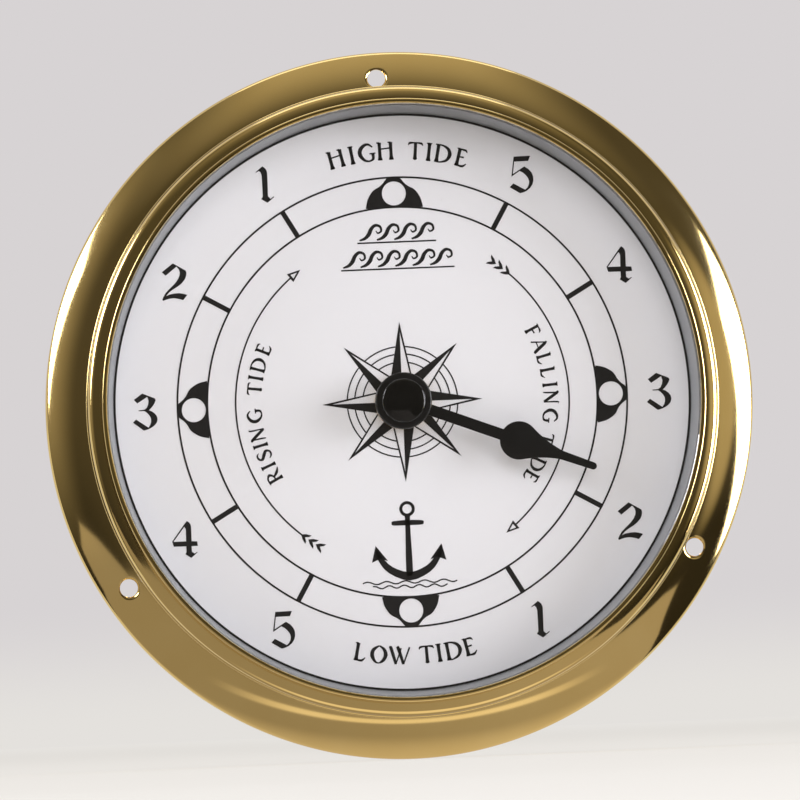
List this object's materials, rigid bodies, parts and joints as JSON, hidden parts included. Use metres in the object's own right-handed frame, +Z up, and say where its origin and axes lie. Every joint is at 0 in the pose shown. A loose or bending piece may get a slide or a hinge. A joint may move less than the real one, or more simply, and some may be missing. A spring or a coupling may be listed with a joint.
{
  "type": "wall-mounted quartz tide clock",
  "caption": "Round brass case with a wide screw flange and a raised glazed bezel, a printed white dial and one black spade hand turned by a square quartz movement",
  "frame": {"origin": "centre of the circle of wall screw holes, halfway through the flange there; the wall plane, where the back rim lies, is 8 mm behind it at y = 0.008", "axes": "+Z up to the dial's twelve o'clock, +X to the right as one reads the dial, -Y out of the wall towards the reader"},
  "size_m": [0.115, 0.0283, 0.115],
  "materials": {
    "brass": "polished and lacquered",
    "lens_glass": "clear, flat, polished",
    "black_rubber": "black, flat",
    "grey_spacer": "grey, silk matt",
    "printed_dial": "white enamel print ground, matt",
    "washer_rubber": "black, matt",
    "nut_brass": "turned",
    "black_housing": "moulded, fine grain",
    "cell_jacket": "plain foil jacket",
    "contact_steel": "nickel plated spring strip",
    "board_laminate": "green laminate",
    "chip_resin": "black potting resin",
    "can_metal": "drawn",
    "bobbin_plastic": "natural",
    "copper_wire": "enamelled copper winding",
    "motor_iron": "stamped",
    "magnet": "sintered",
    "gear_plastic": "natural acetal",
    "arbor_steel": "drawn",
    "hand_black": "satin black",
    "cap_black": "glossy black"
  },
  "bodies": {
    "clock": {"case_body": "brass", "bezel_ring": "brass", "glass_gasket": "black_rubber", "glass_lens": "lens_glass", "spacer_ring": "grey_spacer", "dial_plate": "printed_dial", "dial_washer": "washer_rubber", "fixing_nut": "nut_brass", "movement_front": "black_housing", "movement_cover": "black_housing", "battery_cell": "cell_jacket", "contact_plus": "contact_steel", "contact_minus": "contact_steel", "circuit_board": "board_laminate", "driver_chip": "chip_resin", "quartz_can": "can_metal", "coil_bobbin": "bobbin_plastic", "coil_winding": "copper_wire", "coil_core": "motor_iron", "stator": "motor_iron"},
    "rotor": {"rotor_magnet": "magnet", "rotor_pinion": "gear_plastic"},
    "intermediate": {"intermediate_wheel": "gear_plastic"},
    "seconds": {"seconds_wheel": "gear_plastic"},
    "third": {"third_wheel": "gear_plastic"},
    "centre": {"centre_wheel": "gear_plastic"},
    "setting": {"centre_arbor": "arbor_steel", "cannon_pinion": "gear_plastic", "setting_knob": "black_housing"},
    "motion": {"motion_wheel": "gear_plastic"},
    "tide": {"tide_wheel": "gear_plastic", "tide_hand": "hand_black", "hand_cap": "cap_black"}
  },
  "joints": [
    {"name": "rotor_spin", "type": "hinge", "parent": "clock", "child": "rotor", "pos_m": [-0.00434, -0.0032, 0.01452], "axis": [0, 1, 0], "continuous": true},
    {"name": "intermediate_turn", "type": "hinge", "parent": "clock", "child": "intermediate", "pos_m": [0.00126, -0.0032, 0.01452], "axis": [0, 1, 0], "continuous": true},
    {"name": "seconds_turn", "type": "hinge", "parent": "clock", "child": "seconds", "pos_m": [0.00705, -0.0001, 0.01297], "axis": [0, 1, 0], "continuous": true},
    {"name": "third_turn", "type": "hinge", "parent": "clock", "child": "third", "pos_m": [0.00779, -0.0017, 0.0045], "axis": [0, 1, 0], "continuous": true},
    {"name": "centre_turn", "type": "hinge", "parent": "clock", "child": "centre", "pos_m": [0, -0.0032, 0], "axis": [0, 1, 0], "continuous": true},
    {"name": "tide_hand_turn", "type": "hinge", "parent": "clock", "child": "tide", "pos_m": [0, -0.0062, 0], "axis": [0, 1, 0], "continuous": true},
    {"name": "motion_turn", "type": "hinge", "parent": "clock", "child": "motion", "pos_m": [-0.00611, -0.0047, -0.00222], "axis": [0, 1, 0], "continuous": true},
    {"name": "setting_turn", "type": "hinge", "parent": "clock", "child": "setting", "pos_m": [0, -0.0047, 0], "axis": [0, 1, 0], "continuous": true}
  ],
  "couplings": [
    {"joint": "intermediate_turn", "follows": "rotor_spin", "ratio": -0.16667},
    {"joint": "seconds_turn", "follows": "rotor_spin", "ratio": 0.033333},
    {"joint": "third_turn", "follows": "rotor_spin", "ratio": -0.0044444},
    {"joint": "centre_turn", "follows": "rotor_spin", "ratio": 0.00055556},
    {"joint": "motion_turn", "follows": "tide_hand_turn", "ratio": -3.7273},
    {"joint": "setting_turn", "follows": "tide_hand_turn", "ratio": 12.424}
  ]
}
